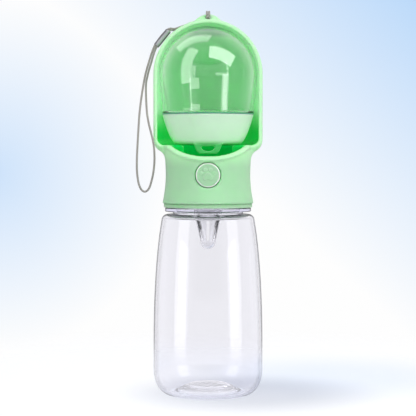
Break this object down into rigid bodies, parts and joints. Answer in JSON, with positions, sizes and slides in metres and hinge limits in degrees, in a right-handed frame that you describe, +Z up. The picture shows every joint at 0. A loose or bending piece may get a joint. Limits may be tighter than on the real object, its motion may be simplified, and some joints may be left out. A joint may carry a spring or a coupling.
{
  "type": "dog travel water bottle",
  "caption": "Clear bottle with a screw-on green head: push-button valve, drinking trough, hood, pull-out food capsule with clear dome, and a wrist cord.",
  "frame": {"origin": "centre of the foot ring, on the surface that the bottle stands on", "axes": "+Z up along the bottle's axis, -Y towards the front (the button and the hood's opening), +X to the right seen from the front"},
  "size_m": [0.0895, 0.0774, 0.2727],
  "materials": {
    "clear_bottle": "clear blow-moulded copolyester",
    "clear_cage": "clear injection-moulded styrene",
    "clear_dome": "clear polished injection-moulded",
    "mint_shell": "satin-gloss moulded polypropylene",
    "mint_band": "moulded polypropylene",
    "mint_button": "satin moulded with a shallow paw",
    "pale_bowl": "satin moulded polypropylene",
    "valve_plastic": "natural moulded acetal",
    "white_silicone": "translucent white silicone",
    "dark_seal": "dark teal silicone",
    "black_rubber": "nitrile rubber",
    "spring_steel": "drawn stainless wire",
    "cord_braid": "braided grey polyester cord",
    "crimp_metal": "satin nickel-plated tube"
  },
  "bodies": {
    "bottle": {"bottle": "clear_bottle"},
    "sealing_ring": {"cap_gasket": "white_silicone"},
    "head": {"head_shell": "mint_shell", "inner_cap": "mint_band", "inlet_cage": "clear_cage", "valve_barrel": "valve_plastic", "barrel_gasket": "white_silicone", "barrel_plug": "valve_plastic", "plug_oring": "black_rubber", "stem_oring": "black_rubber", "gland_washer": "spring_steel", "outlet_seal": "white_silicone", "button_spring": "spring_steel", "lanyard_cord": "cord_braid", "lanyard_crimp": "crimp_metal"},
    "button": {"button": "mint_button", "valve_stem": "valve_plastic", "valve_seal": "black_rubber"},
    "capsule": {"bowl": "pale_bowl", "dome_seal": "dark_seal"},
    "dome": {"dome_cup": "clear_dome"}
  },
  "joints": [
    {"name": "cap_rise", "type": "slide", "parent": "bottle", "child": "sealing_ring", "axis": [0, 0, 1], "range_m": [0, 0.009]},
    {"name": "cap_turn", "type": "hinge", "parent": "sealing_ring", "child": "head", "pos_m": [0, 0, 0.142], "axis": [0, 0, 1], "range_deg": [0, 800]},
    {"name": "button_press", "type": "slide", "parent": "head", "child": "button", "axis": [0, 1, 0], "range_m": [0, 0.003], "stiffness_N_per_m": 300, "springref_m": -0.003, "deforming": ["button_spring"]},
    {"name": "capsule_pull", "type": "slide", "parent": "head", "child": "capsule", "axis": [0, -1, 0], "range_m": [0, 0.075]},
    {"name": "dome_turn", "type": "hinge", "parent": "capsule", "child": "dome", "pos_m": [0, 0, 0.1985], "axis": [0, 0, 1], "range_deg": [0, 25]}
  ],
  "couplings": [
    {"joint": "cap_rise", "follows": "cap_turn", "m_per_rad": 0.00063662}
  ]
}
